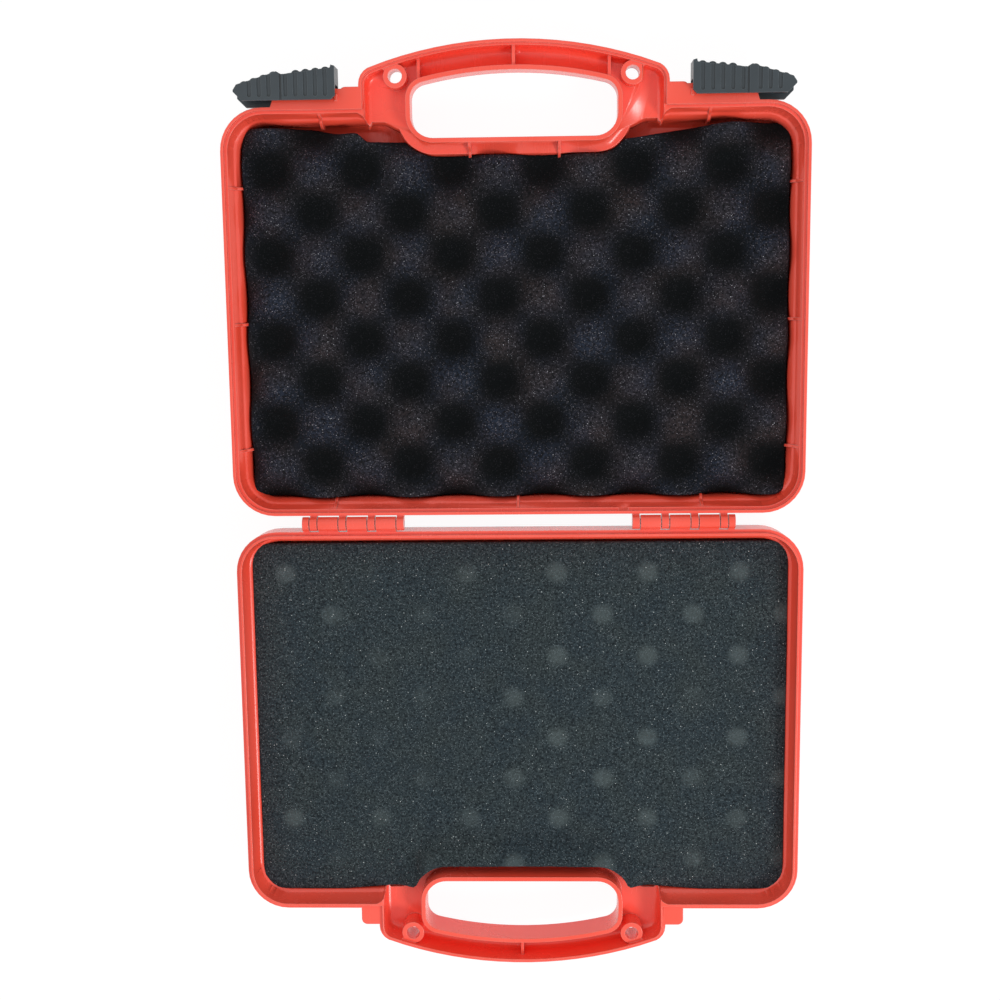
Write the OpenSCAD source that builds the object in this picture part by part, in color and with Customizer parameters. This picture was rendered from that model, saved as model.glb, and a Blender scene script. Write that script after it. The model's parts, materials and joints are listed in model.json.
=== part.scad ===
// Carry case for a small hand instrument, lying open with both halves on the table.
// The hinge line runs along X through y = 0. The base lies on the -Y side and
// the lid on the +Y side, both with the open side up and the outer face down.

/* [Case] */
// Width of the case across its rims
case_w = 235; // [215:1:280]
// Length of each half from its rear rim edge to its front rim edge
half_l = 164.6; // [150:0.2:190]
// Depth of each half from its rim to its outer face
half_h = 24; // [22:0.5:32]
// Corner radius of the rim in plan
corner_r = 17; // [15:0.5:24]
// Radius of the edge where the outside walls turn into the outer face
edge_r = 10; // [6:0.5:11]
// Wall thickness of both halves
wall = 2.3; // [1.8:0.1:2.8]
// How far a side wall leans in over its height
draft = 0.6; // [0.2:0.1:1.5]
// Depth of the shallow panel sunk in the outer face
panel_sink = 0.8; // [0.4:0.1:1.2]
// Distance from the edge of the outer face to the sunk panel
panel_border = 9; // [6:0.5:20]

/* [Rim] */
// Thickness of the outer lip of the lid
lip_t = 1.2; // [0.9:0.1:1.3]
// Depth of the step inside the lid's lip
lip_step = 1.7; // [1.2:0.1:2.4]
// Height of the tongue that stands on the rim of the base
tongue_h = 1.4; // [0.8:0.1:2]
// Gap between tongue and lip when the case is shut
rim_gap = 0.25; // [0.15:0.05:0.4]

/* [Handle] */
// Half width of the handle loop
grip_half_w = 61.5; // [56:0.5:66]
// How far the middle of the handle stands out from the front rim
grip_reach = 24.8; // [22:0.2:32]
// Radius of the bowed front of the handle
grip_bow_r = 168; // [140:1:260]
// Radius of the handle's two front corners
grip_corner_r = 7; // [5.5:0.5:9]
// Depth of the handle on each half
grip_h = 12; // [10:0.5:14]
// Radius of the handle's outer edge
grip_edge_r = 4; // [2:0.5:5]
// Wall and floor thickness of the hollow handle
grip_wall = 2; // [1.6:0.1:2.4]
// Radius in the corner between handle and front wall
grip_root_r = 2.5; // [1:0.5:4]
// Width of the bar between the hand opening and the front of the handle
grip_bar = 11.5; // [10.5:0.5:15]

/* [Hand opening] */
// Half width of the hand opening
open_half_w = 41.3; // [36:0.5:43]
// Distance from the front rim line back to the rear edge of the opening
open_back = 12.7; // [11:0.2:15]
// Radius of the opening's rear corners
open_rear_r = 9; // [6:0.5:10]
// Radius of the opening's front corners
open_front_r = 6.5; // [4:0.5:8]
// Thickness of the collar round the opening
collar_t = 1.8; // [1.2:0.1:2.4]

/* [Tie holes] */
// Diameter of the hole for a tie or a small padlock
tie_hole_d = 5.6; // [4:0.2:6.4]
// Distance of each hole from the middle of the case
tie_hole_x = 47.1; // [46.5:0.1:49]
// Distance of the holes in front of the front rim line
tie_hole_y = 11.5; // [10:0.1:12.5]
// Outer diameter of the boss round each hole
tie_boss_d = 9.4; // [8:0.2:10.4]
// Thickness of the webs beside the bosses and in the handle
web_t = 1.2; // [0.8:0.1:1.6]
// How far the bosses and webs stay below the rim
web_drop = 2.2; // [1.8:0.1:4]

/* [Hinges] */
// Distance from the hinge line to the rear rim edge of each half
hinge_offset = 3.4; // [3.2:0.1:5]
// Outer diameter of the hinge knuckles
knuckle_d = 5.8; // [5:0.1:6]
// Diameter of the hinge pins
pin_d = 2.2; // [1.6:0.1:2.6]
// Gap between a pin and its bore
pin_gap = 0.1; // [0.05:0.01:0.15]
// Distance from the side of the case to the outer end of each hinge
hinge_side = 28.4; // [24:0.2:34]
// Width of the wide knuckles of the base
knuckle_wide = 8.3; // [6:0.1:9]
// Width of the narrow knuckles of the lid
knuckle_slim = 3; // [2.4:0.1:3.5]
// Width of the end knuckle of the base
knuckle_end = 2.7; // [2:0.1:3.5]
// Gap between neighbouring knuckles
knuckle_gap = 0.35; // [0.25:0.05:0.6]

/* [Latches] */
// Length of a latch
latch_l = 40.3; // [38.5:0.1:44]
// How far a latch slides between open and shut
latch_travel = 8.2; // [7:0.1:9]
// Gap between the shut latch and the side of the handle
latch_stop_gap = 0.5; // [0.3:0.1:1]
// Thickness of the latch walls
latch_wall = 1.6; // [1.2:0.1:2]
// Distance from the front wall to the highest point of a latch
latch_reach = 15.3; // [14:0.1:18]
// Gap between a latch and what it slides on
latch_gap = 0.35; // [0.25:0.05:0.5]
// Spacing of the grip ribs on a latch
rib_pitch = 3.9; // [3.5:0.1:4.2]
// Depth of the grooves between the ribs
rib_groove = 0.5; // [0.3:0.1:0.8]
// Thickness of the lugs and of the rail that the latches clasp
lug_t = 3; // [2:0.1:3.4]
// How far the lugs stand out from the front wall
lug_reach = 7.4; // [6:0.1:8]
// Width of a lug beside the handle
lug_w = 7.6; // [6:0.1:7.8]
// Length of the rail behind each lug of the lid
rail_l = 27; // [20:0.5:29]

/* [Gussets] */
// Thickness of the small gussets inside the lid
gusset_t = 1.1; // [0.8:0.1:1.6]
// Reach of a gusset at its foot
gusset_foot = 2.8; // [1.5:0.1:3]

/* [Foam] */
// Gap between the foam and the shells
foam_gap = 0.3; // [0.2:0.05:0.5]
// Distance from the outer edge of the lid to the side of its foam
lid_foam_inset = 6.5; // [6.2:0.1:9]
// Thickness of the lid foam in its valleys
lid_foam_valley = 6; // [4:0.5:8]
// Thickness of the lid foam at its peaks
lid_foam_peak = 17; // [12:0.5:17.5]
// Spacing of the peaks across the lid
peak_pitch_x = 37; // [30:0.5:44]
// Spacing of like rows of peaks from rear to front
peak_pitch_y = 34.4; // [30:0.2:40]
// Sideways shift of the peaks from the middle of the lid
peak_shift_x = -7.3; // [-18:0.1:18]
// Shift of the peak rows from the hinge line
peak_shift_y = 144; // [130:0.5:160]
// Distance from the outer edge of the base to the side of its foam
base_foam_inset = 3.6; // [3.5:0.1:6]
// Thickness of the base foam
base_foam_t = 12.6; // [8:0.1:14]
// Corner radius of both foam sheets
foam_corner_r = 9; // [8:0.5:14]

/* [Hidden] */
$fn = 48;
red = [0.93, 0.27, 0.2];
black = [0.16, 0.18, 0.2];
steel = [0.7, 0.7, 0.72];
foam_dark = [0.12, 0.13, 0.16];
foam_grey = [0.2, 0.24, 0.28];

over = 1; // how far a cut runs past the face that it opens
bond = 0.6; // how deep a joined piece is rooted in the next one
corner_steps = 9; // facets in a quarter of a corner
blend_steps = 5; // facets in one bend of the finger bay
bow_steps = 16; // points along the bowed front of the handle
edge_steps = 5; // facets in the rounded outer edge

half_w = case_w / 2;
rear_y = hinge_offset;
front_y = rear_y + half_l;
tip_y = front_y + grip_reach;
floor_z = wall - half_h;
bow_y = tip_y - grip_bow_r;

// The finger bay behind the handle: the deep part of each half steps back there
bay_side = 11; // step beside the hand opening
bay_side_x = grip_half_w - 1.5; // where that step starts, from the middle
bay_side_w = 10; // width over which the step is blended
bay_mid = open_back + 0.3 - bay_side; // further step behind the hand opening
bay_mid_x = open_half_w + 5.7; // where the further step starts
bay_mid_w = 16; // width over which it is blended

// Smooth rise from 0 to 1
function rise(t) = let (c = min(1, max(0, t))) c * c * (3 - 2 * c);

// How far the deep front wall steps back at x, on an outline moved in by d
function bay(x, d) = bay_side * rise((bay_side_x + d - abs(x)) / bay_side_w)
    + bay_mid * rise((bay_mid_x + d - abs(x)) / bay_mid_w);

function arc(c, r, from, to, steps) =
    [for (k = [0 : steps]) let (a = from + (to - from) * k / steps)
        c + r * [cos(a), sin(a)]];

// Places along half the front edge where the bay bends, from the outside in
function bend_x(d) = concat(
    [for (k = [0 : blend_steps]) bay_side_x + d - bay_side_w * k / blend_steps],
    [for (k = [0 : blend_steps]) bay_mid_x + d - bay_mid_w * k / blend_steps]);

// Right half of a plan moved in by d, from the side to the middle: [x, rear y, front y]
function half_plan(d, r) = concat(
    [for (k = [0 : corner_steps]) let (a = 90 * k / corner_steps)
        [half_w - d - r + r * cos(a), rear_y + d + r - r * sin(a), front_y - d - r + r * sin(a)]],
    [for (x = bend_x(d)) [x, rear_y + d, front_y - d - bay(x, d)]]);

// Plan of a half moved in by d with corner radius r, as one loop
function outline(d, r) = let (h = half_plan(d, r), n = len(h) - 1) concat(
    [for (k = [0 : n]) [-h[k][0], h[k][1]]],
    [for (k = [n : -1 : 0]) [h[k][0], h[k][1]]],
    [for (k = [0 : n]) [h[k][0], h[k][2]]],
    [for (k = [n : -1 : 0]) [-h[k][0], h[k][2]]]);
function body_outline(d) = outline(d, corner_r - d);

// Plan of the handle moved in by d; its rear edge lies inside the body
function grip_outline(d, back) = let (
    cx = grip_half_w - grip_corner_r,
    cy = bow_y + sqrt(pow(grip_bow_r - grip_corner_r, 2) - cx * cx),
    turn = atan2(cy - bow_y, cx),
    right = concat([[grip_half_w - d, back]],
        arc([cx, cy], grip_corner_r - d, 0, turn, corner_steps / 2)),
    n = len(right) - 1)
    concat(right,
        [for (k = [1 : bow_steps]) let (a = turn + (180 - 2 * turn) * k / (bow_steps + 1))
            [0, bow_y] + (grip_bow_r - d) * [cos(a), sin(a)]],
        [for (k = [n : -1 : 0]) [-right[k][0], right[k][1]]]);

// Plan of the hand opening grown by d
function opening_outline(d) = let (
    fr = grip_bow_r - grip_bar,
    fx = open_half_w - open_front_r,
    fy = bow_y + sqrt(pow(fr - open_front_r, 2) - fx * fx),
    turn = atan2(fy - bow_y, fx),
    rx = open_half_w - open_rear_r,
    ry = front_y - open_back + open_rear_r,
    right = concat(
        arc([rx, ry], open_rear_r + d, -90, 0, corner_steps),
        arc([fx, fy], open_front_r + d, 0, turn, corner_steps)),
    n = len(right) - 1)
    concat(right,
        [for (k = [1 : bow_steps]) let (a = turn + (180 - 2 * turn) * k / (bow_steps + 1))
            [0, bow_y] + (fr + d) * [cos(a), sin(a)]],
        [for (k = [n : -1 : 0]) [-right[k][0], right[k][1]]]);

// Solid through a stack of loops with equal even counts, highest first. The two
// ends are closed by strips between points k and n - 1 - k of the loop.
module loft(levels) {
    n = len(levels[0][1]);
    last = len(levels) - 1;
    low = last * n;
    polyhedron(
        points = [for (l = levels) for (p = l[1]) [p[0], p[1], l[0]]],
        faces = concat(
            [for (k = [0 : n / 2 - 2])
                each [[k, n - 1 - k, n - 2 - k], [k, n - 2 - k, k + 1]]],
            [for (k = [0 : last - 1]) for (i = [0 : n - 1])
                let (j = (i + 1) % n, a = k * n, b = a + n)
                each [[a + i, a + j, b + j], [a + i, b + j, b + i]]],
            [for (k = [0 : n / 2 - 2]) each [[low + k, low + k + 1, low + n - 2 - k],
                [low + k, low + n - 2 - k, low + n - 1 - k]]]));
}

// Steps round a lower edge of radius r that ends at depth z, as [depth, move in]
function edge_levels(z, r, lean, steps) =
    [for (k = [0 : steps]) let (a = 90 * k / steps)
        [z + r - r * sin(a), lean + r * (1 - cos(a))]];

// Deep part of a half: thick = 0 is its outside, thick = wall its inside
module deep_body(thick, top) {
    bottom = thick - half_h;
    loft(concat([[top, body_outline(thick)]],
        [for (l = edge_levels(bottom, edge_r - thick, draft, edge_steps))
            [l[0], body_outline(thick + l[1])]]));
}

// Handle plate: thick = 0 is its outside, thick = grip_wall its hollow
grip_draft = 0.2; // how far its sides lean in
module grip_body(thick, top) {
    bottom = thick - grip_h;
    back = front_y - bay_side - bay_mid - 2 * wall;
    loft(concat([[top, grip_outline(thick, back - thick)]],
        [for (l = edge_levels(bottom, max(1, grip_edge_r - thick), grip_draft, 3))
            [l[0], grip_outline(thick + l[1], back - thick)]]));
}

// Flat plan of the whole rim, moved in by d
module rim_plan(d) {
    polygon(grip_outline(d, front_y - corner_r));
    translate([0, rear_y + d])
        square_plan(2 * (half_w - d), half_l - 2 * d, corner_r - d);
}

// Rectangle with round corners, centred in X and starting at y = 0
module square_plan(w, l, r) {
    translate([-w / 2 + r, 0]) square([w - 2 * r, l]);
    translate([-w / 2, r]) square([w, l - 2 * r]);
    for (x = [-w / 2 + r, w / 2 - r], y = [r, l - r])
        translate([x, y]) circle(r);
}

// Block that fills the corner between handle and front wall with a radius
module grip_root() {
    translate([grip_half_w, front_y, grip_edge_r - grip_h])
        linear_extrude(grip_h - grip_edge_r) difference() {
            translate([-bond, -bond]) square(grip_root_r + bond);
            translate([grip_root_r, grip_root_r]) circle(grip_root_r);
        }
}

// Lug beside the handle, for the right-hand side, with one round corner
lug_corner_r = 2.4;
module lug() {
    r = lug_corner_r;
    translate([grip_half_w - bond, front_y - bond, -lug_t])
        linear_extrude(lug_t) {
            square([lug_w + bond, lug_reach + bond - r]);
            square([lug_w + bond - r, lug_reach + bond]);
            translate([lug_w + bond - r, lug_reach + bond - r]) circle(r);
        }
}

// Rail of the lid for the right-hand side, with a bead that holds the latch
rail_reach = lug_reach - 0.7;
bead_y = 3.2; // start of the bead in front of the front wall
bead_h = 1;
rail_slant = 2.5; // how much shorter the rail is along its free edge
catch_size = [1, 2.6, 0.9]; // small catch that stops the open latch
module rail() {
    x0 = grip_half_w + lug_w;
    translate([x0 - bond, front_y - bond, -lug_t]) linear_extrude(lug_t)
        polygon([[0, 0], [rail_l + bond + 1, 0],
            [rail_l + bond + 1 - rail_slant, rail_reach + bond],
            [0, rail_reach + bond]]);
    translate([x0, front_y + bead_y, -lug_t - bead_h])
        cube([rail_l - 2, rail_reach - bead_y, bead_h + bond]);
    translate([x0 + 0.9, front_y + 2, -bond]) cube(catch_size + [0, 0, bond]);
}

// Boss with its two webs for the right-hand side, before it is drilled
boss_web = [0.8, 2.4]; // how far the web to the front and the slanted one stand out
boss_web_turn = 35;
module tie_boss(top) {
    boss_z = bond - grip_h;
    translate([tie_hole_x, front_y + tie_hole_y, boss_z]) {
        cylinder(d = tie_boss_d, h = top - boss_z);
        translate([-web_t / 2, 0, 0]) cube([web_t, tie_boss_d / 2 + boss_web[0], top - boss_z]);
        rotate(boss_web_turn) translate([0, -web_t / 2, 0])
            cube([tie_boss_d / 2 + boss_web[1], web_t, top - boss_z]);
    }
}

// Web across the handle hollow at x, from the collar to the front wall
module grip_web(x, top) {
    y0 = bow_y + sqrt(pow(grip_bow_r - grip_bar, 2) - x * x) + collar_t / 2;
    y1 = bow_y + sqrt(pow(grip_bow_r, 2) - x * x) - grip_wall / 2;
    translate([x - web_t / 2, y0, bond - grip_h])
        cube([web_t, y1 - y0, top + grip_h - bond]);
}

// Gusset on a wall that faces +Y, with its top at the inner rim
gusset_top = -lip_step - 0.8;
gusset_low = floor_z + 4.6;
module gusset() {
    rotate([90, 0, 90]) translate([0, 0, -gusset_t / 2]) linear_extrude(gusset_t)
        polygon([[-wall / 2, gusset_top], [0.3, gusset_top], [gusset_foot, gusset_low],
            [gusset_foot, gusset_low - 1.5], [-wall / 2, gusset_low - 1.5]]);
}

// The gussets of the lid: three on each side and at the rear, four in front
side_gussets = [26.6, 78.6, 133.6]; // from the rear rim edge
rear_gussets = [-76, 0, 76];
front_gusset_x = 78;
bay_gusset_x = 18;
module gussets() {
    for (x = rear_gussets) translate([x, rear_y + wall, 0]) gusset();
    for (s = [-1, 1]) {
        for (y = side_gussets)
            translate([s * (half_w - wall), rear_y + y, 0]) rotate(s * 90) gusset();
        translate([s * front_gusset_x, front_y - wall, 0]) rotate(180) gusset();
        translate([s * bay_gusset_x, front_y - wall - bay_side - bay_mid, 0])
            rotate(180) gusset();
    }
}

// Knuckle from x0 to x0 + w, rooted in the half on the +Y side
arm_drop = 0.05; // the arms of the knuckles stay this far below the rim
module knuckle(x0, w) {
    translate([x0, 0, 0]) {
        rotate([0, 90, 0]) cylinder(d = knuckle_d, h = w);
        translate([0, 0, -knuckle_d / 2])
            cube([w, hinge_offset + wall / 2, knuckle_d / 2 - arm_drop]);
    }
}

// Knuckles of one hinge from the outer end inwards: [start, width] of each
hinge_l = knuckle_end + 4 * knuckle_slim + 3 * knuckle_wide + 7 * knuckle_gap;
hinge_out = half_w - hinge_side;
hinge_in = hinge_out - hinge_l;
pair_w = knuckle_slim + knuckle_wide + 2 * knuckle_gap;
slim_starts = [for (k = [0 : 3])
    hinge_out - knuckle_end - knuckle_gap - knuckle_slim - k * pair_w];
wide_starts = [for (k = [0 : 2]) slim_starts[k] - knuckle_gap - knuckle_wide];

module hinge_bores(d) {
    for (s = [-1, 1])
        translate([s > 0 ? hinge_in - over : -hinge_out - over, 0, 0])
            rotate([0, 90, 0]) cylinder(d = d, h = hinge_l + 2 * over);
}

// Shell of one half with its rim plane at z = 0 and the rear edge towards y = 0
base_boss_top = -0.4; // the base's bosses nearly reach its rim
side_web_x = 38; // place of the lid's side webs across the handle
module half_shell(lid) {
    collar_top = lid ? -lip_step : tongue_h;
    boss_top = lid ? -web_drop : base_boss_top;
    difference() {
        union() {
            difference() {
                union() {
                    deep_body(0, 0);
                    grip_body(0, 0);
                    for (s = [0, 1]) mirror([s, 0, 0]) {
                        grip_root();
                        lug();
                        if (lid) rail();
                    }
                    if (!lid) translate([0, 0, -2 * tongue_h])
                        linear_extrude(3 * tongue_h) rim_plan(lip_t + rim_gap);
                }
                deep_body(wall, tongue_h + over);
                grip_body(grip_wall, tongue_h + over);
                if (lid) translate([0, 0, -lip_step])
                    linear_extrude(lip_step + over) rim_plan(lip_t);
            }
            translate([0, 0, bond - grip_h])
                linear_extrude(collar_top + grip_h - bond)
                    polygon(opening_outline(collar_t));
            for (s = [0, 1]) mirror([s, 0, 0]) {
                tie_boss(boss_top);
                if (lid) grip_web(side_web_x, -web_drop - 3);
                if (lid) for (x = slim_starts) knuckle(x, knuckle_slim);
                if (!lid) for (x = wide_starts) knuckle(x, knuckle_wide);
                if (!lid) knuckle(hinge_out - knuckle_end, knuckle_end);
            }
            grip_web(0, -web_drop - 1);
            if (lid) gussets();
        }
        translate([0, 0, -half_h - over])
            linear_extrude(half_h + tongue_h + 2 * over) polygon(opening_outline(0));
        for (s = [-1, 1])
            translate([s * tie_hole_x, front_y + tie_hole_y, -half_h])
                cylinder(d = tie_hole_d, h = 2 * half_h);
        hinge_bores(pin_d + 2 * pin_gap);
        outer_panel();
    }
}

// Shallow sunk panel in the outer face
panel_corner_r = 6;
module outer_panel() {
    side = edge_r + draft + panel_border;
    l = half_l - 2 * side - bay_side - bay_mid;
    translate([0, rear_y + side, -half_h - over])
        linear_extrude(over + panel_sink)
            square_plan(case_w - 2 * side, l, panel_corner_r);
}

// Sets a half on the table, on the base side or on the lid side
module on_base_side() { translate([0, 0, half_h]) mirror([0, 1, 0]) children(); }
module on_lid_side() { translate([0, 0, half_h]) children(); }

module base_shell() { color(red) on_base_side() half_shell(false); }

module lid_shell() { color(red) on_lid_side() half_shell(true); }

module hinge_pin(x0) {
    color(steel) translate([x0, 0, half_h])
        rotate([0, 90, 0]) cylinder(d = pin_d, h = hinge_l);
}

// Side view of a latch from above, x from its inner end and y from the front wall
latch_low = -lug_t - bead_h - latch_gap - latch_wall;
latch_high = lug_t + latch_gap + latch_wall;
latch_near = latch_gap; // nearest edge of the lower arm
latch_arm = 2.1; // nearest edge of the upper arm
latch_mid = latch_l * 0.52; // place of the notch between the two grip fields
latch_top = latch_reach - 1.1; // height of the grip fields, below the end fin
latch_cut = 3.4; // cut corner at the outer end
latch_nose = 1.6; // cut corner that clears the root of the handle
latch_end = 6.2; // height of the outer end
latch_hip = 13.1; // start of the outer field beside the notch
fin_w = 1.7; // width of the fin at the inner end
field_slope = 1.8; // fall of the inner field towards the notch
notch_r = 1.2;
module latch_plan(near) {
    difference() {
        polygon([[0, near + latch_nose], [latch_nose, near],
            [latch_l - latch_cut, near], [latch_l, near + latch_cut],
            [latch_l, latch_end], [latch_l - 1.4, latch_end + 2.1],
            [latch_mid + 2, latch_hip], [latch_mid, latch_top - field_slope - 0.4],
            [fin_w, latch_top], [fin_w - 0.3, latch_reach], [0, latch_reach - 0.4]]);
        translate([latch_mid + 0.2, latch_top - 0.4]) circle(notch_r);
    }
}

// Ribs that wrap over the thumb side: fields of low round bumps
rib_edge = 0.8; // how far the ribs stay from the two flat faces
rib_start = 1.9; // first rib from the fin or from the notch
outer_fall = 4.8; // fall of the ribs over the outer field
module latch_ribs() {
    r = rib_pitch / 2;
    for (k = [0 : 3]) translate([rib_start + fin_w + k * rib_pitch,
            latch_top - 1.3 - field_slope * (k + 0.5) / 5, latch_low + rib_edge])
        cylinder(r = r, h = latch_high - latch_low - 2 * rib_edge);
    for (k = [0 : 3]) translate([latch_mid + 1.3 + rib_start + k * rib_pitch,
            latch_hip - rib_start - outer_fall * k * rib_pitch
                / (latch_l - latch_mid - latch_cut), latch_low + rib_edge])
        cylinder(r = r, h = latch_high - latch_low - 2 * rib_edge);
}

// One groove in the upper face of a latch, with a round inner end
groove_w = 1.6;
groove_y = 4.2; // its inner end, from the front wall
module latch_groove(x) {
    translate([x, groove_y, latch_high]) {
        cylinder(d = groove_w, h = 2 * rib_groove, center = true);
        translate([-groove_w / 2, 0, -rib_groove])
            cube([groove_w, latch_reach - groove_y, 2 * rib_groove]);
    }
}

// Latch for the right-hand side, in the place that it has when open
latch_x0 = grip_half_w + latch_stop_gap + latch_travel;
groove_start = 3.8; // first groove from the inner end
slit_w = 0.9; // width of the slit between the two grip fields
channel_y = lug_reach + latch_gap + 0.25; // depth of the channel that clasps the lugs
channel_z = lug_t + latch_gap; // half its height
module latch_solid() {
    translate([latch_x0, front_y, 0]) difference() {
        union() {
            translate([0, 0, latch_low]) linear_extrude(-channel_z - latch_low)
                latch_plan(latch_near);
            translate([0, 0, -channel_z - 0.01])
                linear_extrude(latch_high + channel_z + 0.01) latch_plan(latch_arm);
            latch_ribs();
        }
        translate([-over, 0, -channel_z])
            cube([latch_l - latch_wall + over, channel_y, 2 * channel_z]);
        translate([-over, bead_y - latch_gap, -channel_z - bead_h])
            cube([latch_l - latch_wall - 2.4 + over, channel_y - bead_y + latch_gap,
                2 * bead_h]);
        for (k = [0 : 4]) latch_groove(groove_start + k * rib_pitch);
        for (k = [0 : 2]) latch_groove(latch_mid + groove_start + 1.3 + k * rib_pitch);
        translate([latch_mid, latch_arm - over, latch_high - rib_groove])
            cube([slit_w, latch_reach, rib_groove + over]);
    }
}

module latch_right() { color(black) on_lid_side() latch_solid(); }

module latch_left() { color(black) on_lid_side() mirror([1, 0, 0]) latch_solid(); }

// Plan of a foam sheet moved in by d from the outer edge
function foam_outline(d) = outline(d, max(corner_r - d, foam_corner_r));

foam_z = floor_z + foam_gap;
edge_ease = 0.4; // extra gap beside the rounded inner edge

// Room that the inside of the wall leaves at depth z, from the outer edge
function wall_in(z) = let (r = edge_r - wall, t = (floor_z + r - z) / r)
    wall + draft + (t <= 0 ? 0 : r * (1 - sqrt(max(0, 1 - t * t))));

// Flat sheet that follows the rounded inner edge of the base
module base_foam() {
    top = foam_z + base_foam_t;
    steps = [for (z = [top, foam_z + 5.5, foam_z + 3, foam_z + 1.3, foam_z + 0.4, foam_z])
        [z, max(base_foam_inset, wall_in(z) + foam_gap + edge_ease)]];
    color(foam_grey) on_base_side()
        loft([for (s = steps) [s[0], foam_outline(s[1])]]);
}

// Profiled sheet of the lid: a grid of peaks and valleys on a flat back
grid_per_pitch = 6; // grid lines in one spacing of the peaks
lid_foam_w = case_w - 2 * lid_foam_inset;
lid_foam_cols = round(lid_foam_w / peak_pitch_x * grid_per_pitch);
lid_foam_rows = round((half_l - 2 * lid_foam_inset) / peak_pitch_y * grid_per_pitch);
bay_ease = 1.5; // how much earlier the foam steps back than the wall of the bay
function corner_in(x, d) = let (over_x = abs(x) - (lid_foam_w / 2 - d - foam_corner_r))
    over_x <= 0 ? 0 : foam_corner_r - sqrt(max(0, pow(foam_corner_r, 2) - pow(over_x, 2)));
function relief(x, y) = foam_z + (lid_foam_peak + lid_foam_valley) / 2
    + (lid_foam_peak - lid_foam_valley) / 2
    * cos(360 * (x - peak_shift_x) / peak_pitch_x)
    * cos(360 * (y - peak_shift_y) / peak_pitch_y);
function lid_grid(i, j, d) = let (
    x = (i / lid_foam_cols - 0.5) * (lid_foam_w - 2 * d),
    rear = rear_y + lid_foam_inset + d + corner_in(x, d),
    front = front_y - lid_foam_inset - d - corner_in(x, d)
        - bay(x, lid_foam_inset + d + bay_ease))
    [x, rear + (front - rear) * j / lid_foam_rows];
// Ring of grid places round the sheet, counter-clockwise
function lid_ring() = concat(
    [for (i = [0 : lid_foam_cols - 1]) [i, 0]],
    [for (j = [0 : lid_foam_rows - 1]) [lid_foam_cols, j]],
    [for (i = [lid_foam_cols : -1 : 1]) [i, lid_foam_rows]],
    [for (j = [lid_foam_rows : -1 : 1]) [0, j]]);

module lid_foam() {
    nx = lid_foam_cols + 1;
    ny = lid_foam_rows + 1;
    ring = lid_ring();
    n = len(ring);
    low_z = foam_z + 2; // top of the cut that clears the rounded edge
    low_in = max(0, wall_in(low_z) + foam_gap + edge_ease - lid_foam_inset);
    back_in = wall_in(foam_z) + foam_gap + edge_ease - lid_foam_inset;
    top = [for (j = [0 : ny - 1]) for (i = [0 : nx - 1])
        let (p = lid_grid(i, j, 0)) [p[0], p[1], relief(p[0], p[1])]];
    side = [for (g = ring) let (p = lid_grid(g[0], g[1], low_in)) [p[0], p[1], low_z]];
    back = [for (g = ring) let (p = lid_grid(g[0], g[1], back_in)) [p[0], p[1], foam_z]];
    a = nx * ny;
    b = a + n;
    color(foam_dark) on_lid_side() polyhedron(
        points = concat(top, side, back),
        faces = concat(
            [for (j = [0 : ny - 2]) for (i = [0 : nx - 2])
                let (p = j * nx + i, q = p + nx)
                each [[p, q, q + 1], [p, q + 1, p + 1]]],
            [for (k = [0 : n - 1]) let (m = (k + 1) % n,
                p = ring[k][1] * nx + ring[k][0], q = ring[m][1] * nx + ring[m][0])
                each [[p, q, a + m], [p, a + m, a + k],
                    [a + k, a + m, b + m], [a + k, b + m, b + k]]],
            [for (i = [1 : nx - 3]) let (f = n - ny + 1 - i)
                each [[b + i, b + i + 1, b + f], [b + i + 1, b + f - 1, b + f]]],
            [for (e = [concat([1], [for (k = [n - ny : n - 1]) k], [0]),
                [for (k = [nx - 2 : nx + ny - 1]) k]])
                for (k = [1 : len(e) - 2]) [b + e[0], b + e[k], b + e[k + 1]]]));
}

module hinge_pin_left() { hinge_pin(-hinge_out); }

module hinge_pin_right() { hinge_pin(hinge_in); }

base_shell();
lid_shell();
hinge_pin_left();
hinge_pin_right();
latch_left();
latch_right();
base_foam();
lid_foam();
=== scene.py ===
import bpy, bmesh, json, math
from mathutils import Matrix, Vector


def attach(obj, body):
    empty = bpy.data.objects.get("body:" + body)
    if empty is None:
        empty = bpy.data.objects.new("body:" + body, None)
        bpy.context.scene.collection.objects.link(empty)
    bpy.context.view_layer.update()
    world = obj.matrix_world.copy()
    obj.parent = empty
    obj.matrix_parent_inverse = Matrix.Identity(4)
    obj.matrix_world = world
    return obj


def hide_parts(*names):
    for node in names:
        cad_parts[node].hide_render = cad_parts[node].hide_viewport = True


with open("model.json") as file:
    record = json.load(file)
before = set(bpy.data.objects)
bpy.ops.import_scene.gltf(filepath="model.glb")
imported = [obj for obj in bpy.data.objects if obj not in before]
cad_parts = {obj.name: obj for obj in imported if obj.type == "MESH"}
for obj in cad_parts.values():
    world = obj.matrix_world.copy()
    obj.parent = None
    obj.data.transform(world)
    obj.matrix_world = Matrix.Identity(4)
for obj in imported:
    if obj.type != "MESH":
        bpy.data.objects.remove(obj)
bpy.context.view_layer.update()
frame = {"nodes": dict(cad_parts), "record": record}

nodes = frame["nodes"]
scene = bpy.context.scene
mm = 0.001


def colour(r, g, b):  # a screen colour, 0 to 255, as Blender's linear one
    parts = [v / 255 for v in (r, g, b)]
    return tuple(p / 12.92 if p < 0.04045 else ((p + 0.055) / 1.055) ** 2.4 for p in parts) + (1,)


def placed(name, data):  # a new object in the scene
    thing = bpy.data.objects.new(name, data)
    scene.collection.objects.link(thing)
    return thing


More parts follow.
